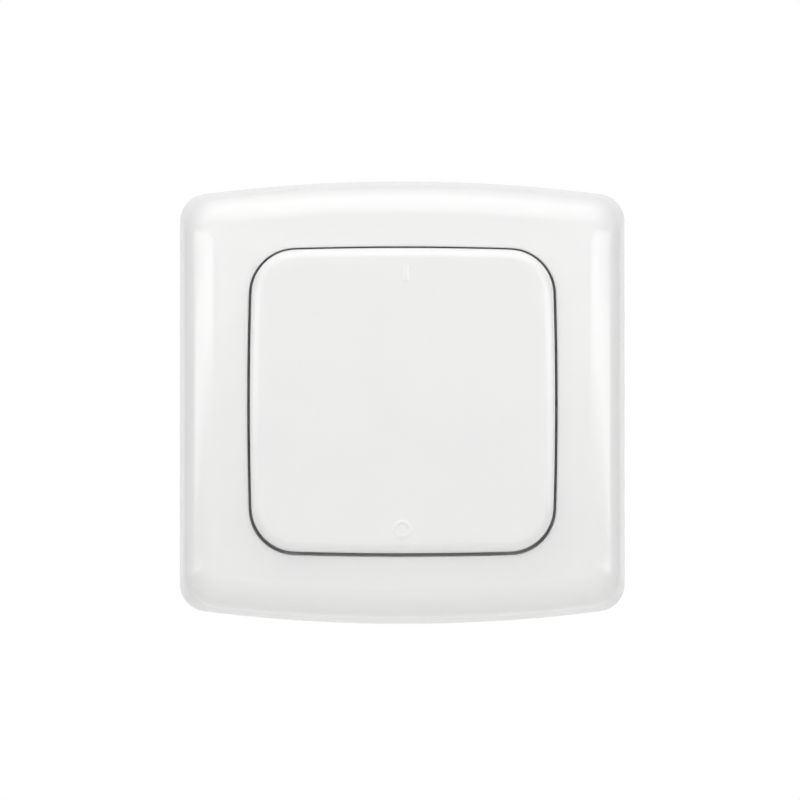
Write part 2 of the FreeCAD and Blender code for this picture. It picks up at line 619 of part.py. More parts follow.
def battery():
    """Coin cell, cap down: a crimped can with the smaller cap standing out of its back."""
    can = BATTERY_DIAMETER / 2
    cap = can - BATTERY_CRIMP
    step = battery_bottom + BATTERY_CAP_STEP
    return turned(0, 0, [
        (0, battery_bottom), (cap, battery_bottom), (cap, step), (can, step),
        (can, battery_top - BATTERY_EDGE), (can - BATTERY_EDGE, battery_top), (0, battery_top)])


def bent_strip(points, thickness, width):
    """A strip of sheet metal bent along a line of points in the XZ plane, to the left of its run."""
    inner = []
    for i, point in enumerate(points):
        before = (point - points[max(i - 1, 0)]) if i else (points[1] - point)
        after = (points[min(i + 1, len(points) - 1)] - point) if i < len(points) - 1 else before
        before, after = before.normalize(), after.normalize()
        normal = (Vector(-before.z, 0, before.x) + Vector(-after.z, 0, after.x)).normalize()
        spread = thickness / max(normal.dot(Vector(-before.z, 0, before.x)), 0.1)
        inner.append(point + normal * spread)
    face = Part.Face(Part.makePolygon(points + inner[::-1] + [points[0]]))
    strip = face.extrude(Vector(0, width, 0))
    strip.translate(Vector(0, -width / 2, 0))
    return strip


def battery_contact_negative():
    """Sprung tongue under the cell: soldered foot, ramp and a raised end that meets the cap."""
    half = CONTACT_LENGTH / 2
    rise = CONTACT_RISE - CONTACT_SHEET
    points = [Vector(-half, 0, board_top), Vector(-half / 3, 0, board_top),
              Vector(half / 3, 0, board_top + rise), Vector(half, 0, board_top + rise)]
    return bent_strip(points, CONTACT_SHEET, CONTACT_WIDTH)


def battery_contact_positive():
    """Clip beside the cell: soldered foot, upright and a lip over the can."""
    side = BATTERY_DIAMETER / 2 + CLIP_CLEARANCE
    lip_bottom = battery_top + CLIP_CLEARANCE
    points = [Vector(side + CONTACT_SHEET + CLIP_FOOT, 0, board_top + CONTACT_SHEET),
              Vector(side + CONTACT_SHEET, 0, board_top + CONTACT_SHEET),
              Vector(side + CONTACT_SHEET, 0, lip_bottom + CONTACT_SHEET),
              Vector(side - CLIP_LIP, 0, lip_bottom + CONTACT_SHEET)]
    return bent_strip(points, CONTACT_SHEET, CLIP_WIDTH)


def push_pin(end):
    """Push pin: a cone head on a straight stem that slides in the cover's guide."""
    top = carrier_bottom - PIN_TOP_CLEARANCE
    return turned(0, end * pin_offset, [
        (0, pin_tip), (PIN_RADIUS, pin_tip), (PIN_RADIUS, pin_head_bottom),
        (PIN_HEAD_RADIUS, pin_head_bottom), (PIN_HEAD_FLAT, top), (0, top)])


def return_spring(end):
    """Compression spring round the pin's stem, from the guide's floor to the head."""
    radius = guide_well - SPRING_CLEARANCE - SPRING_WIRE / 2
    length = pin_head_bottom - guide_floor - 2 * SPRING_END_CLEARANCE
    wire_height = SPRING_WIRE * math.cos(math.radians(30))
    spring = coil(radius, SPRING_WIRE, (length - wire_height) / SPRING_TURNS, SPRING_TURNS)
    spring.translate(Vector(0, end * pin_offset, guide_floor + SPRING_END_CLEARANCE + wire_height / 2))
    return spring


def tact_switch(end):
    """Low surface-mount switch: moulded body, steel cover with a round hole and four legs."""
    y = end * pin_offset
    body = centred_box(0, y, SWITCH_BODY, SWITCH_BODY, board_top, switch_top)
    body = body.makeChamfer(SWITCH_CORNER_CUT, [e for e in body.Edges if e.BoundBox.ZLength > OVER])
    rim = centred_box(0, y, SWITCH_BODY, SWITCH_BODY, switch_top - SWITCH_COVER, switch_top + OVER)
    lid = SWITCH_BODY - 2 * SWITCH_CORNER_CUT
    rim = rim.cut(centred_box(0, y, lid, lid, board_top, switch_top + 2 * OVER))
    body = body.cut(rim)
    legs = []
    for side in (-1, 1):
        for row in (-1, 1):
            x = side * (SWITCH_BODY + SWITCH_LEG_REACH) / 2
            leg_y = y + row * SWITCH_BODY / 4
            legs.append(centred_box(x, leg_y, SWITCH_LEG_REACH + OVER, SWITCH_LEG,
                                    board_top, board_top + SWITCH_COVER))
    return fused([body] + legs)


def tact_actuator(end):
    """Soft silicone button of the switch."""
    return turned(0, end * pin_offset, [
        (0, switch_top), (ACTUATOR_FOOT_RADIUS, switch_top), (ACTUATOR_RADIUS, actuator_top),
        (0, actuator_top)])


def controller_chip():
    """Encoder chip in a small-outline package with gull-wing leads on both sides."""
    row = CHIP_PITCH * (CHIP_LEADS - 1)
    body = centred_box(CHIP_X, CHIP_Y, row + CHIP_LEAD + 2 * CHIP_END, CHIP_WIDTH,
                       board_top + CHIP_STAND, board_top + CHIP_HEIGHT)
    pieces = [body]
    first = CHIP_X - row / 2
    middle = board_top + CHIP_HEIGHT / 2
    for side in (-1, 1):
        edge = CHIP_Y + side * CHIP_WIDTH / 2
        knee = edge + side * CHIP_LEAD_REACH / 2
        toe = edge + side * CHIP_LEAD_REACH
        for i in range(CHIP_LEADS):
            x = first + i * CHIP_PITCH
            low, high = x - CHIP_LEAD / 2, x + CHIP_LEAD / 2
            shoulder = sorted((edge - side * CHIP_LEAD, knee))
            foot = sorted((knee - side * CHIP_LEAD / 2, toe))
            pieces.append(box(low, high, *shoulder, middle - CHIP_LEAD / 2, middle))
            pieces.append(box(low, high, *sorted((knee - side * CHIP_LEAD / 2, knee)), board_top, middle))
            pieces.append(box(low, high, *foot, board_top, board_top + CHIP_LEAD / 2))
    return fused(pieces)


def saw_resonator():
    """Frequency resonator: a round metal can."""
    return rod(RESONATOR_X, RESONATOR_Y, RESONATOR_RADIUS, board_top, board_top + RESONATOR_HEIGHT)


def antenna_coil():
    """Aerial: bare copper wire wound into an open coil that lies on the board."""
    winding = coil(ANTENNA_RADIUS, ANTENNA_WIRE, ANTENNA_PITCH, ANTENNA_TURNS)
    winding.rotate(Vector(), Vector(0, 1, 0), 90)
    winding.translate(Vector(ANTENNA_X, ANTENNA_Y, board_top + ANTENNA_RADIUS + ANTENNA_WIRE / 2))
    return winding


def tantalum_capacitor():
    body = centred_box(CAPACITOR_X, CAPACITOR_Y, CAPACITOR_LENGTH, CAPACITOR_WIDTH,
                       board_top, board_top + CAPACITOR_HEIGHT)
    upper = [e for e in body.Edges if e.CenterOfMass.z > board_top + CAPACITOR_HEIGHT - 0.01]
    return body.makeChamfer(CAPACITOR_HEIGHT / 8, upper)


def chip_resistors():
    """Small resistors and capacitors of one size, as one group."""
    parts = []
    for column in range(SMALL_PART_COLUMNS):
        for row in range(SMALL_PART_ROWS):
            x = SMALL_PARTS_X + (column - (SMALL_PART_COLUMNS - 1) / 2) * SMALL_PART_PITCH
            y = SMALL_PARTS_Y + (row - (SMALL_PART_ROWS - 1) / 2) * SMALL_PART_PITCH
            parts.append(centred_box(x, y, SMALL_PART_WIDTH, SMALL_PART_LENGTH,
                                     board_top, board_top + SMALL_PART_HEIGHT))
    return Part.Compound(parts)


def hook_side_view(face, outward, nose_bottom):
    """Side view of a hook, (across, up from the wall): a tongue with a sloping nose."""
    back, tip = face - outward * HOOK_THICKNESS, face + outward * HOOK_NOSE
    low, top = plate_top / 2, nose_bottom + HOOK_NOSE_HEIGHT
    points = [(back, low), (face, low), (face, nose_bottom), (tip, nose_bottom),
              (tip, nose_bottom + HOOK_NOSE_HEIGHT / 4), (face, top), (back, top)]
    return points + points[:1]


def wall_plate():
    """Wall plate: a rimmed plate with four screw slots, tape recesses, frame hooks and module hooks."""
    plate = bowed_block(plate_width, plate_height, 0, FRAME_END_BOW, PLATE_CORNER,
                        0, plate_top + PLATE_RIM)
    hollow = bowed_block(plate_width - 2 * PLATE_RIM_WALL, plate_height - 2 * PLATE_RIM_WALL, 0,
                         FRAME_END_BOW, PLATE_CORNER - PLATE_RIM_WALL, plate_top,
                         plate_top + PLATE_RIM + OVER)
    plate = plate.cut(hollow)

    side_view = hook_side_view(frame_hook_face, 1, frame_hook_seat)
    frame_hook = Part.Face(Part.makePolygon([Vector(x, 0, z) for x, z in side_view]))
    frame_hook = frame_hook.extrude(Vector(0, HOOK_WIDTH, 0))
    frame_hook.translate(Vector(0, HOOK_OFFSET - HOOK_WIDTH / 2, 0))
    module_hook_face = module_size / 2 + TAB_DEPTH + TAB_CLEARANCE
    module_hook_seat = plate_top + TAB_HEIGHT + CATCH_SEAT
    side_view = hook_side_view(module_hook_face, -1, module_hook_seat)
    module_hook = Part.Face(Part.makePolygon([Vector(0, y, z) for y, z in side_view]))
    module_hook = module_hook.extrude(Vector(TAB_WIDTH, 0, 0))
    module_hook.translate(Vector(TAB_OFFSET - TAB_WIDTH / 2, 0, 0))
    plate = fused([plate] + four_ways(frame_hook) + four_ways(module_hook))

    for sign in (-1, 1):
        place = sign * SLOT_PITCH / 2
        for x, y, along_x in ((place, 0, True), (0, place, False)):
            plate = plate.cut(slot_block(x, y, SLOT_RADIUS, SLOT_LENGTH, along_x, -OVER, plate_top + OVER))
        tape = centred_box(sign * TAPE_OFFSET, 0, TAPE_WIDTH, TAPE_HEIGHT, -OVER, TAPE_DEPTH)
        plate = plate.cut(tape)
    return plate


def stand_up(shape):
    """Turns a piece from lying on its back to upright against the wall."""
    turned = shape.copy()
    turned.rotate(Vector(), Vector(1, 0, 0), 90)
    return turned


NODES = {
    "wall_plate": wall_plate,
    "frame": frame,
    "rocker": rocker,
    "rocker_carrier": rocker_carrier,
    "module_base": module_base,
    "module_cover": module_cover,
    "module_screws": module_screws,
    "circuit_board": circuit_board,
    "battery": battery,
    "battery_contact_negative": battery_contact_negative,
    "battery_contact_positive": battery_contact_positive,
    "push_pin_on": lambda: push_pin(1),
    "push_pin_off": lambda: push_pin(-1),
    "return_spring_on": lambda: return_spring(1),
    "return_spring_off": lambda: return_spring(-1),
    "tact_switch_on": lambda: tact_switch(1),
    "tact_switch_off": lambda: tact_switch(-1),
    "tact_actuator_on": lambda: tact_actuator(1),
    "tact_actuator_off": lambda: tact_actuator(-1),
    "controller_chip": controller_chip,
    "saw_resonator": saw_resonator,
    "antenna_coil": antenna_coil,
    "tantalum_capacitor": tantalum_capacitor,
    "chip_resistors": chip_resistors,
}

os.makedirs("parts", exist_ok=True)
for name, make in NODES.items():
    piece = stand_up(make())
    piece.exportStep(f"parts/{name}.step")
    print(f"{name}: {len(piece.Solids)} solid, {piece.Volume:.1f} mm3, valid {piece.isValid()}")
print(f"pivot {pivot:.3f} mm from the wall, the rocker's edge at {rocker_edge:.2f} mm")
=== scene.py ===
import math

import bmesh
import bpy
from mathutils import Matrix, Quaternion, Vector


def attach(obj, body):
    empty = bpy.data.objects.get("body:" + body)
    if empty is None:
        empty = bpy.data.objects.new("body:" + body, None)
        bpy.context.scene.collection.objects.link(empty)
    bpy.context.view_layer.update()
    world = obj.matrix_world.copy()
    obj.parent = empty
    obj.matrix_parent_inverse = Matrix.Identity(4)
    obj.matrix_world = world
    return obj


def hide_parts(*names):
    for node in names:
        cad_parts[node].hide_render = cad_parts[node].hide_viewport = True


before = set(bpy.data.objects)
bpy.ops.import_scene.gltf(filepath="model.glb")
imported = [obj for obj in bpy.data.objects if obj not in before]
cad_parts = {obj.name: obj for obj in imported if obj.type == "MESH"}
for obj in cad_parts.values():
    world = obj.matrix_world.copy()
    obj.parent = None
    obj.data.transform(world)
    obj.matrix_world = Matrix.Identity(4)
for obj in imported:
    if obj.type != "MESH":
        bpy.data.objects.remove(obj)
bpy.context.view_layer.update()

# Camera
# The photograph was taken from far off with a long lens, so that the walls hardly taper. The camera
# stands nearly level with the switch: less than a degree below it and a tenth of one to its left.
DISTANCE = 1.0
BELOW = math.radians(0.85)
TO_THE_LEFT = math.radians(0.1)
FILM_WIDTH = 36
PICTURE_WIDTH = 800
SWITCH_WIDTH = 0.08
PHOTO_SCALE = SWITCH_WIDTH / 444.6          # metres of switch in one pixel of the picture
OFF_CENTRE_RIGHT, OFF_CENTRE_DOWN = 2.3, 2.5  # pixels from the middle of the picture to the switch's
aim = Vector((-OFF_CENTRE_RIGHT * PHOTO_SCALE, 0, OFF_CENTRE_DOWN * PHOTO_SCALE))
sight = Vector((math.sin(TO_THE_LEFT), math.cos(TO_THE_LEFT), math.sin(BELOW))).normalized()
lens = bpy.data.cameras.new("camera")
lens.sensor_width = FILM_WIDTH
lens.lens = FILM_WIDTH * DISTANCE / (PICTURE_WIDTH * PHOTO_SCALE)
lens.clip_start = 0.05
camera = bpy.data.objects.new("camera", lens)
camera.location = aim - sight * DISTANCE
camera.rotation_mode = "QUATERNION"
camera.rotation_quaternion = sight.to_track_quat("-Z", "Y")
bpy.context.scene.collection.objects.link(camera)
bpy.context.scene.camera = camera
bpy.context.scene.view_settings.view_transform = "Standard"

# Studio light
# Soft boxes stand round the switch in a pale room: a broad one high in front, small ones over, under,
# behind, before and left of it, and two long strips whose slanting reflections run down its sides.
# What the camera sees behind the switch is white, and glossy surfaces mirror that white too.
SOFT_BOXES = {                    # degrees to the right and up, metres away, width, height, roll, watts
    "top_box": (0, 58, 1.2, 2.0, 1.30, 0, 11.4),
    "over_box": (0, 88, 0.9, 1.0, 0.80, 0, 0.7),
    "front_box": (0, 22, 1.2, 0.9, 0.50, 0, 0.4),
    "left_box": (-58, 36, 1.2, 0.5, 0.30, 0, 0.5),
    "left_strip": (-50, 6.2, 1.2, 1.68, 0.24, 8, 4.7),
    "right_strip": (50, 4.8, 1.2, 1.68, 0.28, -8, 5.4),
    "under_box": (0, -80, 0.6, 0.8, 0.30, 0, 0.3),
    "back_box": (180, 0, 1.3, 0.3, 0.30, 0, 9.0),
}
ROOM_LEVEL = 0.2
for name, (right, up, away, width, height, roll, watts) in SOFT_BOXES.items():
    lamp = bpy.data.lights.new(name, "AREA")
    lamp.shape = "RECTANGLE"
    lamp.size, lamp.size_y, lamp.energy = width, height, watts
    box = bpy.data.objects.new(name, lamp)
    right, up = math.radians(right), math.radians(up)
    place = Vector((math.sin(right) * math.cos(up), -math.cos(right) * math.cos(up), math.sin(up))) * away
    box.location = place
    box.rotation_mode = "QUATERNION"
    box.rotation_quaternion = (-place).to_track_quat("-Z", "Y") @ Quaternion((0, 0, 1), math.radians(roll))
    box.visible_camera = False
    bpy.context.scene.collection.objects.link(box)


def add(tree, kind, links=(), **settings):
    """Adds a node, sets its properties and values, and links sockets into it."""
    made = tree.nodes.new(kind)
    for key, value in settings.items():
        if hasattr(made, key):
            setattr(made, key, value)
        else:
            made.inputs[key.replace("_", " ")].default_value = value
    for target, source in dict(links).items():
        tree.links.new(source, made.inputs[target])
    return made


def linear(colour):
    """The linear RGBA of an sRGB hex colour."""
    parts = [int(colour[i:i + 2], 16) / 255 for i in (1, 3, 5)]
    return (*[c / 12.92 if c <= 0.04045 else ((c + 0.055) / 1.055) ** 2.4 for c in parts], 1)


def seen_directly(tree):
    """One where a surface is seen by itself, in a mirror or through glass, and nought for its light."""
    ray = add(tree, "ShaderNodeLightPath")
    seen = add(tree, "ShaderNodeMath", {0: ray.outputs["Is Camera Ray"], 1: ray.outputs["Is Glossy Ray"]},
               operation="MAXIMUM")
    seen = add(tree, "ShaderNodeMath", {0: seen.outputs[0], 1: ray.outputs["Is Transmission Ray"]},
               operation="MAXIMUM")
    return seen.outputs[0]


room = bpy.data.worlds.new("room")
room.use_nodes = True
bpy.context.scene.world = room
tree = room.node_tree
tree.nodes.clear()
walls = add(tree, "ShaderNodeBackground", Color=linear("#FFFFFF"), Strength=ROOM_LEVEL)
white = add(tree, "ShaderNodeBackground", Color=linear("#FFFFFF"), Strength=1.0)
mixed = add(tree, "ShaderNodeMixShader", {0: seen_directly(tree), 1: walls.outputs[0], 2: white.outputs[0]})
add(tree, "ShaderNodeOutputWorld", {0: mixed.outputs[0]})

# Floor
# A pale painted table stands well under the switch, and takes its soft shadow. It lies too far below
# the lamps to look white by itself, so what the camera sees of it is lifted, and its shadow stays.
FLOOR_DROP, FLOOR_RADIUS, FLOOR_SIDES = 0.7, 2.5, 96
FLOOR_PALENESS = 0.6
FLOOR_GRAIN_MM = 12.5
floor_mesh = bpy.data.meshes.new("floor")
floor_shape = bmesh.new()
bmesh.ops.create_circle(floor_shape, cap_ends=True, segments=FLOOR_SIDES, radius=FLOOR_RADIUS)
floor_shape.to_mesh(floor_mesh)
floor_shape.free()
floor = bpy.data.objects.new("floor", floor_mesh)
floor.location = (0, 0, -FLOOR_DROP)
bpy.context.scene.collection.objects.link(floor)

# Matt white paint: rolled on, so that it is even, without gloss, and hardly changes in tone.
floor_paint = bpy.data.materials.new("matt_white_paint")
floor_paint.use_nodes = True
tree = floor_paint.node_tree
tree.nodes.clear()
grain = add(tree, "ShaderNodeTexNoise", Scale=2 * FLOOR_RADIUS * 1000 / FLOOR_GRAIN_MM, Detail=3.0)
tone = add(tree, "ShaderNodeMix", {"Factor": grain.outputs["Fac"]}, data_type="RGBA",
           A=linear("#F1F1F0"), B=linear("#F6F6F5"))
body = add(tree, "ShaderNodeBsdfPrincipled", {"Base Color": tone.outputs["Result"]}, Roughness=0.85)
pale = add(tree, "ShaderNodeMath", {0: seen_directly(tree)}, operation="MULTIPLY")
pale.inputs[1].default_value = FLOOR_PALENESS
glow = add(tree, "ShaderNodeEmission", {"Strength": pale.outputs[0]}, Color=linear("#FFFFFF"))
both = add(tree, "ShaderNodeAddShader", {0: body.outputs[0], 1: glow.outputs[0]})
add(tree, "ShaderNodeOutputMaterial", {0: both.outputs[0]})
floor_mesh.materials.append(floor_paint)

# Cover frame
# The square cover is moulded in glossy white ABS, with leaning walls, a domed face and bowed ends.
# Its back is open: a ledged skirt round the window and eight ribs stiffen it, four catches hold it.
# It is drawn lying on its back in millimetres: x to the right, y up, and heights out of the wall.
FRAME_HALF_WIDTH, FRAME_HALF_HEIGHT = 40.0, 39.8
FRAME_END_BOW, FRAME_CORNER = 2.85, 5.0
FRAME_CORNER_GROWTH, FRAME_LEVEL = 2.6, 12.4  # the corners open out up to the level of the front
FRAME_WALL, FRAME_EDGE = 2.0, 6.3
FRAME_LEAN = math.radians(8)
FRAME_DOME = 390.0
FRAME_RIM = 12.883                          # height of the window's edge at mid-side
WINDOW_HALF, WINDOW_BOW, WINDOW_CORNER = 27.56, 0.54, 8.3
WINDOW_SKIRT, WINDOW_EDGE = 1.4, 0.3
LEDGE_WIDTH, LEDGE_TOP, LEDGE_FOOT = 1.0, 8.341, 7.541
WALL_SHARES = (0.02, 0.25, 0.5, 0.75, 0.97)  # where rows of points lie on the wall, from foot to round
FACE_ROWS, LIP_ROWS, UNDER_ROWS = 12, 4, 5
RIB_HALF, RIB_PLACE, RIB_FOOT = 0.5, 8.0, 7.683
RIB_START = WINDOW_HALF + 0.7               # each rib begins inside the skirt
RIB_STEPS = ((36.9, 9.6), (35.0, 11.2))     # how far out and how high each step of a rib goes
CATCH_NEAR, CATCH_FAR, CATCH_PLACE, CATCH_HALF = 35.9, 37.4, 18, 4
CATCH_FOOT, CATCH_TOP = 4.2, 5.4
STRAIGHT = 1e6                              # the radius of a side without a bow


def outline(half_x, half_y, bow_x, bow_y, corner, along=28, round_steps=14):
    """Points and outward normals once round a bowed rectangle with rounded corners, in millimetres."""
    def arc_radius(bow, half_chord):
        return (half_chord ** 2 + bow ** 2) / (2 * bow) if bow else STRAIGHT
    side, end = arc_radius(bow_x, half_y - bow_y), arc_radius(bow_y, half_x - bow_x)
    x, y = half_x - corner, half_y - corner
    for _ in range(20):
        x = half_x - side + math.sqrt((side - corner) ** 2 - y ** 2)
        y = half_y - end + math.sqrt((end - corner) ** 2 - x ** 2)
    first, second = math.atan2(y, x - half_x + side), math.atan2(y - half_y + end, x)
    points = []
    for quarter in range(4):
        turn = quarter * math.pi / 2
        if quarter % 2 == 0:
            centre, radius, low, high = half_x - side, side, -first, first
            corner_x, corner_y, last = x, y, second
        else:
            centre, radius, low, high = half_y - end, end, second - math.pi / 2, math.pi / 2 - second
            corner_x, corner_y, last = y, x, math.pi / 2 - first
        for i in range(along):
            angle = low + (high - low) * i / along
            points.append((centre + radius * math.cos(angle), radius * math.sin(angle), angle, turn))
        for i in range(round_steps):
            angle = high + (last - high) * i / round_steps
            points.append((corner_x + corner * math.cos(angle), corner_y + corner * math.sin(angle),
                           angle, turn))
    ring = []
    for px, py, angle, turn in points:
        c, s = math.cos(turn), math.sin(turn)
        ring.append((Vector((px * c - py * s, px * s + py * c)),
                     Vector((math.cos(angle + turn), math.sin(angle + turn)))))
    return ring


def dome(radius, top):
    """Height of a domed face over a point."""
    return lambda p: top - radius + math.sqrt(radius ** 2 - p.x ** 2 - p.y ** 2)


def shoulder(point, normal, lean, radius, face, drift=Vector((0, 0)), level=0, steps=14):
    """The round between a wall that leans in by that angle and a domed face, from the wall upwards.

    The wall's points also slide along it by the drift with each millimetre below that level."""
    inward = -normal
    height = face(point)
    for _ in range(6):
        start = point + inward * height * math.tan(lean)
        height = face(start)
    slope = math.atan(face(start + inward) - face(start))
    reach = height * math.tan(lean)
    a, b = math.cos(lean), -math.sin(lean)
    c, d = math.sin(slope), -math.cos(slope)
    right = radius + reach * c + height * d
    centre_in = (radius * d - right * b) / (a * d - b * c)
    centre_up = (a * right - c * radius) / (a * d - b * c)
    ring = []
    for i in range(steps + 1):
        angle = lean + (math.pi / 2 - slope - lean) * i / steps
        height = centre_up + radius * math.sin(angle)
        flat = point + inward * (centre_in - radius * math.cos(angle)) + drift * (height - level)
        ring.append((flat.x, flat.y, height))
    return ring


def upright(x, y, height):
    """The place in metres on the wall of a point drawn lying, in millimetres."""
    return (x / 1000, -height / 1000, y / 1000)


def bridge(shape, low, high):
    """Joins two closed rows of vertices with faces."""
    for i in range(len(low)):
        j = (i + 1) % len(low)
        shape.faces.new((low[i], low[j], high[j], high[i]))


def turned_up(rings, closed):
    """A bmesh through rings of (x, y, height) points that ends where it began or has both ends capped."""
    shape = bmesh.new()
    rows = [[shape.verts.new(upright(*point)) for point in ring] for ring in rings]
    for low, high in zip(rows, rows[1:]):
        bridge(shape, low, high)
    if closed:
        bridge(shape, rows[-1], rows[0])
        return shape
    for row in (rows[0], rows[-1]):
        tip = shape.verts.new(sum((v.co for v in row), Vector()) / len(row))
        for i in range(len(row)):
            shape.faces.new((row[i], row[(i + 1) % len(row)], tip))
    return shape


def add_block(shape, one, other, edge=0.15):
    """Adds a block with bevelled edges between two opposite corners in millimetres."""
    low, high = zip(*(sorted(pair) for pair in zip(one, other)))
    made = bmesh.ops.create_cube(shape, size=1.0)["verts"]
    for v in made:
        v.co = upright(*[low[i] + (high[i] - low[i]) * (v.co[i] + 0.5) for i in range(3)])
    edges = {e for v in made for e in v.link_edges}
    bmesh.ops.bevel(shape, geom=list(edges), offset=edge / 1000, segments=2, affect="EDGES", profile=0.5)


def finish_piece(shape, name, material, body_name, slot_name, *nodes):
    """Turns a bmesh into a smooth-shaded piece that rides on a body and stands for its nodes."""
    bmesh.ops.recalc_face_normals(shape, faces=shape.faces)
    mesh = bpy.data.meshes.new(name)
    shape.to_mesh(mesh)
    shape.free()
    mesh.shade_smooth()
    mesh.set_sharp_from_angle(angle=math.radians(32))
    mesh.materials.append(material)
    piece = bpy.data.objects.new(name, mesh)
    bpy.context.scene.collection.objects.link(piece)
    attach(piece, body_name)
    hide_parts(*nodes)


frame_top = FRAME_RIM + FRAME_DOME - math.sqrt(FRAME_DOME ** 2 - WINDOW_HALF ** 2)
frame_face = dome(FRAME_DOME, frame_top)
frame_under = dome(FRAME_DOME - FRAME_WALL, frame_top - FRAME_WALL)
foot = outline(FRAME_HALF_WIDTH, FRAME_HALF_HEIGHT, 0, FRAME_END_BOW, FRAME_CORNER)
window = outline(WINDOW_HALF, WINDOW_HALF, WINDOW_BOW, WINDOW_BOW, WINDOW_CORNER)
inset = FRAME_LEVEL * math.tan(FRAME_LEAN)
crest = outline(FRAME_HALF_WIDTH - inset, FRAME_HALF_HEIGHT - inset, 0, FRAME_END_BOW,
                FRAME_CORNER + FRAME_CORNER_GROWTH)
shoulders, inner_shoulders = [], []
for (p, _), (q, n) in zip(foot, crest):
    leaning = (p - q).dot(n)
    drift = (q - p + n * leaning) / FRAME_LEVEL
    turn = math.atan(leaning / FRAME_LEVEL)
    base = q + n * leaning
    shoulders.append(shoulder(base, n, turn, FRAME_EDGE, frame_face, drift, FRAME_LEVEL))
    inner_shoulders.append(shoulder(base - n * FRAME_WALL, n, turn, FRAME_EDGE - FRAME_WALL, frame_under,
                                    drift, FRAME_LEVEL, steps=6))
rings = [[(p.x, p.y, 0) for p, n in foot]]
for share in WALL_SHARES:
    rings.append([tuple(Vector((p.x, p.y, 0)).lerp(Vector(s[0]), share))
                  for (p, n), s in zip(foot, shoulders)])
for step in range(len(shoulders[0])):
    rings.append([s[step] for s in shoulders])
lip = [p + n * WINDOW_EDGE for p, n in window]
for row in range(1, FACE_ROWS + 1):
    ring = []
    for s, inner in zip(shoulders, lip):
        flat = Vector(s[-1][:2]).lerp(inner, row / FACE_ROWS)
        ring.append((flat.x, flat.y, frame_face(flat)))
    rings.append(ring)
for row in range(1, LIP_ROWS + 1):
    angle = math.pi / 2 * row / LIP_ROWS
    ring = []
    for (p, n), inner in zip(window, lip):
        flat = p + n * WINDOW_EDGE * (1 - math.sin(angle))
        ring.append((flat.x, flat.y, frame_face(inner) - WINDOW_EDGE * (1 - math.cos(angle))))
    rings.append(ring)
ledge = [p - n * LEDGE_WIDTH for p, n in window]
skirt = [p + n * WINDOW_SKIRT for p, n in window]
rings.append([(p.x, p.y, LEDGE_TOP) for p, n in window])
rings.append([(p.x, p.y, LEDGE_TOP) for p in ledge])
rings.append([(p.x, p.y, LEDGE_FOOT) for p in ledge])
rings.append([(p.x, p.y, LEDGE_FOOT) for p in skirt])
rings.append([(p.x, p.y, frame_under(p)) for p in skirt])
for row in range(1, UNDER_ROWS):
    ring = []
    for p, s in zip(skirt, inner_shoulders):
        flat = p.lerp(Vector(s[-1][:2]), row / UNDER_ROWS)
        ring.append((flat.x, flat.y, frame_under(flat)))
    rings.append(ring)
for step in reversed(range(len(inner_shoulders[0]))):
    rings.append([s[step] for s in inner_shoulders])
inner_foot = [p - n * FRAME_WALL for p, n in foot]
rings.append([(p.x, p.y, 0) for p in inner_foot])
cover = turned_up(rings, closed=True)
for place in (-RIB_PLACE, RIB_PLACE):
    for side in (-1, 1):
        for reach, top in RIB_STEPS:
            add_block(cover, (side * RIB_START, place - RIB_HALF, RIB_FOOT),
                      (side * reach, place + RIB_HALF, top))
            add_block(cover, (place - RIB_HALF, side * RIB_START, RIB_FOOT),
                      (place + RIB_HALF, side * reach, top))
for x, y in ((-1, -1), (-1, 1), (1, -1), (1, 1)):
    add_block(cover, (x * CATCH_NEAR, y * CATCH_PLACE - CATCH_HALF, CATCH_FOOT),
              (x * CATCH_FAR, y * CATCH_PLACE + CATCH_HALF, CATCH_TOP))

# Glossy white ABS: the steel mould was polished and then lightly grained, which leaves a soft gloss
# with a very fine ripple and hardly any change of tone.
TONE_MM, RIPPLE_MM, RIPPLE_DEPTH_MM = 14.0, 0.9, 0.01
abs_gloss = bpy.data.materials.new("white_abs_gloss")
abs_gloss.use_nodes = True
tree = abs_gloss.node_tree
tree.nodes.clear()
place = add(tree, "ShaderNodeTexCoord").outputs["Object"]
patches = add(tree, "ShaderNodeTexNoise", {"Vector": place}, Scale=1000 / TONE_MM, Detail=2.0)
tone = add(tree, "ShaderNodeMix", {"Factor": patches.outputs["Fac"]}, data_type="RGBA",
           A=linear("#EAEAEA"), B=linear("#EEEEED"))
sheen = add(tree, "ShaderNodeMapRange", {"Value": patches.outputs["Fac"]}, To_Min=0.18, To_Max=0.22)
ripple = add(tree, "ShaderNodeTexNoise", {"Vector": place}, Scale=1000 / RIPPLE_MM, Detail=3.0)
relief = add(tree, "ShaderNodeBump", {"Height": ripple.outputs["Fac"]}, Strength=0.06,
             Distance=RIPPLE_DEPTH_MM / 1000)
body = add(tree, "ShaderNodeBsdfPrincipled",
           {"Base Color": tone.outputs["Result"], "Roughness": sheen.outputs["Result"],
            "Normal": relief.outputs["Normal"]}, IOR=1.53)
add(tree, "ShaderNodeOutputMaterial", {0: body.outputs[0]})
finish_piece(cover, "cover_frame", abs_gloss, "housing", "cover_plastic", "frame")

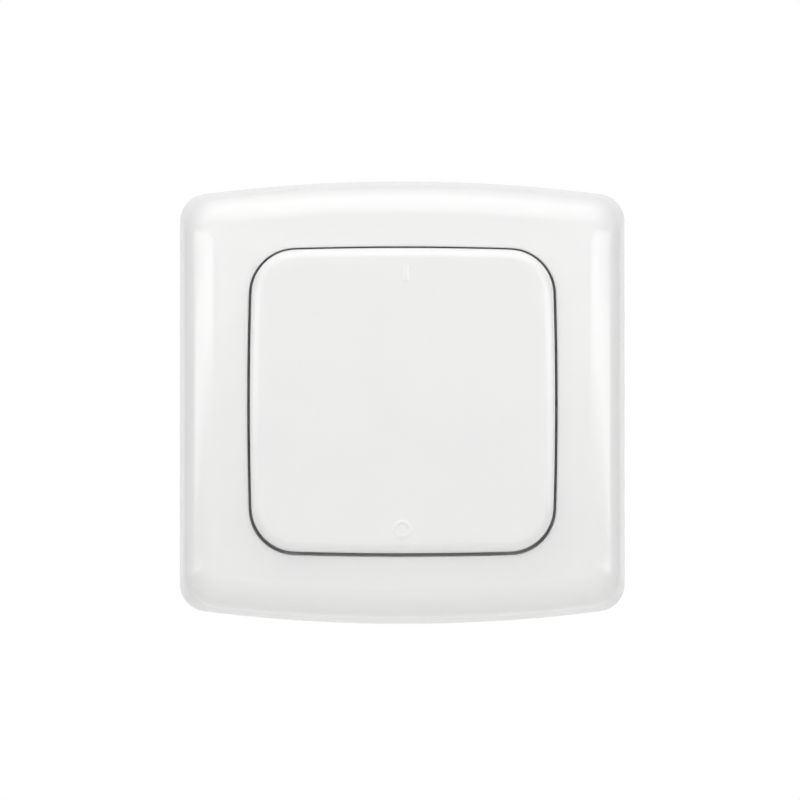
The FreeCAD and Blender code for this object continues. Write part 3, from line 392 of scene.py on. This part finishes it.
# Rocker
# The large key is one moulding of the same ABS: a slightly domed cap with a skirt and a soft edge,
# a raised bar and ring for on and off, and behind it ribs and four legs that snap on the carrier.
ROCKER_HALF, ROCKER_CORNER, ROCKER_WALL = 27.1, 7.95, 1.5
ROCKER_PLAY = 0.15                          # it sits this much above the middle of its window
ROCKER_FOOT, ROCKER_INSIDE, ROCKER_RIM = 9.683, 13.483, 15.083
ROCKER_EDGE, ROCKER_DOME = 1.9, 900.0
SKIRT_HEIGHTS = (ROCKER_FOOT, ROCKER_FOOT + 0.3, ROCKER_FOOT + 1.8)
CAP_SHARES = (0.94, 0.86, 0.76, 0.64, 0.5, 0.35, 0.2, 0.08)  # rows of points from the edge inwards
CEILING_SHARE = 0.3
rocker_top = ROCKER_RIM + ROCKER_DOME - math.sqrt(ROCKER_DOME ** 2 - ROCKER_HALF ** 2)
rocker_face = dome(ROCKER_DOME, rocker_top)
key_line = outline(ROCKER_HALF, ROCKER_HALF, WINDOW_BOW, WINDOW_BOW, ROCKER_CORNER)
shoulders = [shoulder(p, n, 0, ROCKER_EDGE, rocker_face) for p, n in key_line]
hollow = [p - n * ROCKER_WALL for p, n in key_line]
rings = [[(p.x * CEILING_SHARE, p.y * CEILING_SHARE, ROCKER_INSIDE) for p in hollow],
         [(p.x, p.y, ROCKER_INSIDE) for p in hollow], [(p.x, p.y, ROCKER_FOOT) for p in hollow]]
for height in SKIRT_HEIGHTS:
    rings.append([(p.x, p.y, height) for p, n in key_line])
for step in range(len(shoulders[0])):
    rings.append([s[step] for s in shoulders])
for share in CAP_SHARES:
    ring = []
    for s in shoulders:
        flat = Vector(s[-1][:2]) * share
        ring.append((flat.x, flat.y, rocker_face(flat)))
    rings.append(ring)
key = turned_up(rings, closed=False)
bmesh.ops.translate(key, vec=upright(0, ROCKER_PLAY, 0), verts=key.verts)

MARK_PLACE, MARK_RISE, MARK_SLOPE, MARK_ROOT = 22.7, 0.1, 0.12, 0.02
BAR_SHIFT = 0.6
BAR_HALF_WIDTH, BAR_HALF_HEIGHT, BAR_CORNER = 0.4, 1.5, 0.2
RING_INSIDE, RING_OUTSIDE = 1.0, 1.65


def raised_mark(shape, inside, outside, centre):
    """Adds a raised mark with soft sides between two closed lines of (x, y) points and normals."""
    steps = [(-MARK_SLOPE, -MARK_ROOT), (-MARK_SLOPE / 2, MARK_RISE * 0.1), (0, MARK_RISE * 0.4),
             (MARK_SLOPE / 2, MARK_RISE * 0.8), (MARK_SLOPE, MARK_RISE)]
    lines = [[(p - n * d, h) for p, n in outside] for d, h in steps]
    if inside:
        lines += [[(p + n * d, h) for p, n in inside] for d, h in reversed(steps)]
    rows = []
    for line in lines:
        row = []
        for p, h in line:
            flat = p + centre
            row.append(shape.verts.new(upright(flat.x, flat.y, rocker_face(flat) + h)))
        rows.append(row)
    for low, high in zip(rows, rows[1:]):
        bridge(shape, low, high)
    if not inside:
        shape.faces.new(rows[-1])


def circle(radius, steps=64):
    """Points and outward normals round a circle."""
    turns = [2 * math.pi * i / steps for i in range(steps)]
    normals = [Vector((math.cos(t), math.sin(t))) for t in turns]
    return [(normal * radius, normal) for normal in normals]


bar = outline(BAR_HALF_WIDTH, BAR_HALF_HEIGHT, 0, 0, BAR_CORNER, along=4, round_steps=5)
raised_mark(key, None, bar, Vector((BAR_SHIFT, MARK_PLACE)))
raised_mark(key, circle(RING_INSIDE), circle(RING_OUTSIDE), Vector((0, -MARK_PLACE)))
LEG_INSIDE, LEG_OUTSIDE, LEG_PLACE, LEG_HALF, LEG_FOOT = 21.52, 22.52, 11, 2.8, 10.13
BEAM_PLACE, BEAM_HALF, BEAM_NEAR, BEAM_FAR, BEAM_FOOT = 6, 0.45, 12.05, 21.6, 12.23
LEG_ROOT = 14.0                             # legs and ribs end inside the thickness of the cap
for x in (-1, 1):
    for y in (-1, 1):
        add_block(key, (x * LEG_INSIDE, y * LEG_PLACE - LEG_HALF, LEG_FOOT),
                  (x * LEG_OUTSIDE, y * LEG_PLACE + LEG_HALF, LEG_ROOT))
        add_block(key, (x * BEAM_PLACE - BEAM_HALF, y * BEAM_NEAR, BEAM_FOOT),
                  (x * BEAM_PLACE + BEAM_HALF, y * BEAM_FAR, LEG_ROOT))
finish_piece(key, "rocker_key", abs_gloss, "rocker", "cover_plastic", "rocker")

# Wall plate, module case and carrier
# The hidden mouldings are matt ABS in white and light grey, and the seesaw carrier is smooth acetal.
# A spark-eroded mould gives the matt ones their fine even grain.
PATCH_MM = 8.333


def moulded(name, dark, light, low_gloss, high_gloss, grain_mm, depth_mm):
    """A moulded plastic: two close tones in soft patches, and a fine grain from the mould."""
    made = bpy.data.materials.new(name)
    made.use_nodes = True
    tree = made.node_tree
    tree.nodes.clear()
    place = add(tree, "ShaderNodeTexCoord").outputs["Object"]
    patches = add(tree, "ShaderNodeTexNoise", {"Vector": place}, Scale=1000 / PATCH_MM, Detail=3.0)
    tone = add(tree, "ShaderNodeMix", {"Factor": patches.outputs["Fac"]}, data_type="RGBA",
               A=linear(dark), B=linear(light))
    grain = add(tree, "ShaderNodeTexNoise", {"Vector": place}, Scale=1000 / grain_mm, Detail=4.0)
    gloss = add(tree, "ShaderNodeMapRange", {"Value": grain.outputs["Fac"]}, To_Min=low_gloss,
                To_Max=high_gloss)
    relief = add(tree, "ShaderNodeBump", {"Height": grain.outputs["Fac"]}, Strength=0.5,
                 Distance=depth_mm / 1000)
    body = add(tree, "ShaderNodeBsdfPrincipled",
               {"Base Color": tone.outputs["Result"], "Roughness": gloss.outputs["Result"],
                "Normal": relief.outputs["Normal"]}, IOR=1.52)
    add(tree, "ShaderNodeOutputMaterial", {0: body.outputs[0]})
    return made


def dress(material, *names):
    """Gives pieces that are shown as built their material."""
    for name in names:
        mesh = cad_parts[name].data
        mesh.materials.clear()
        mesh.materials.append(material)


# Matt ABS, white for the plate and light grey for the case: an even surface without highlights.
dress(moulded("white_abs_matt", "#E2E2E0", "#E9E9E7", 0.5, 0.62, 0.35, 0.02), "wall_plate")
dress(moulded("grey_abs_matt", "#CFD1D3", "#D7D9DA", 0.5, 0.64, 0.35, 0.02), "module_base", "module_cover")
# Natural acetal: slightly creamy and waxy, with broad soft highlights.
dress(moulded("white_acetal", "#E6E6E2", "#EDEDEA", 0.32, 0.42, 0.6, 0.01), "rocker_carrier", "push_pin_on",
      "push_pin_off")
# Moulded silicone: milky and dull.
dress(moulded("white_silicone", "#DEDDD8", "#E8E7E3", 0.6, 0.72, 0.5, 0.01), "tact_actuator_on",
      "tact_actuator_off")

# Circuit board and what is soldered on it
# A green lacquered glass-fibre board carries two low switches, the chip, its frequency can, the wound
# aerial and a few small parts. The lacquer is smooth, the moulded cases of the parts are dull.
dress(moulded("green_solder_lacquer", "#0B4A26", "#12592F", 0.3, 0.42, 0.5, 0.02), "circuit_board")
dress(moulded("black_moulding_compound", "#1B1B1C", "#242425", 0.5, 0.62, 0.2, 0.02), "tact_switch_on",
      "tact_switch_off", "controller_chip")
dress(moulded("yellow_capacitor_case", "#C98F22", "#D69C2C", 0.42, 0.52, 0.3, 0.01), "tantalum_capacitor")
dress(moulded("fired_ceramic", "#9C8468", "#AD957A", 0.45, 0.6, 0.2, 0.01), "chip_resistors")

# Metal pieces
# Nickel-plated steel for the cell, its contacts and the frequency can, drawn wire for the springs,
# zinc on the screws and enamelled copper on the aerial.
LINE_LENGTH_MM, LINE_DEPTH_MM = 16.667, 0.01


def metal(name, dark, light, low_gloss, high_gloss, line_mm):
    """A plated or drawn metal with fine lines left by rolling or drawing."""
    made = bpy.data.materials.new(name)
    made.use_nodes = True
    tree = made.node_tree
    tree.nodes.clear()
    place = add(tree, "ShaderNodeTexCoord").outputs["Object"]
    stretched = add(tree, "ShaderNodeMapping", {"Vector": place},
                    Scale=(1000 / LINE_LENGTH_MM, 1000 / line_mm, 1000 / line_mm))
    lines = add(tree, "ShaderNodeTexNoise", {"Vector": stretched.outputs["Vector"]}, Scale=1.0, Detail=4.0)
    tone = add(tree, "ShaderNodeMix", {"Factor": lines.outputs["Fac"]}, data_type="RGBA",
               A=linear(dark), B=linear(light))
    gloss = add(tree, "ShaderNodeMapRange", {"Value": lines.outputs["Fac"]}, To_Min=low_gloss,
                To_Max=high_gloss)
    relief = add(tree, "ShaderNodeBump", {"Height": lines.outputs["Fac"]}, Strength=0.3,
                 Distance=LINE_DEPTH_MM / 1000)
    body = add(tree, "ShaderNodeBsdfPrincipled",
               {"Base Color": tone.outputs["Result"], "Roughness": gloss.outputs["Result"],
                "Normal": relief.outputs["Normal"]}, Metallic=1.0)
    add(tree, "ShaderNodeOutputMaterial", {0: body.outputs[0]})
    return made


# Nickel plate: warm and bright, with fine lines from the rolled sheet under it.
dress(metal("nickel_plated_steel", "#B9B8B4", "#CFCECA", 0.22, 0.34, 0.2), "battery",
      "battery_contact_negative", "battery_contact_positive", "saw_resonator")
# Bare drawn wire and zinc plate: greyer and duller than nickel.
dress(metal("spring_wire", "#9A9A9C", "#B0B0B2", 0.28, 0.4, 0.1), "return_spring_on", "return_spring_off")
dress(metal("zinc_plated_steel", "#A8ABAE", "#BDC0C3", 0.3, 0.42, 0.2), "module_screws")
# Copper under clear enamel: reddish, and smooth.
dress(metal("enamelled_copper", "#B06A3C", "#C67C49", 0.25, 0.35, 0.15), "antenna_coil")
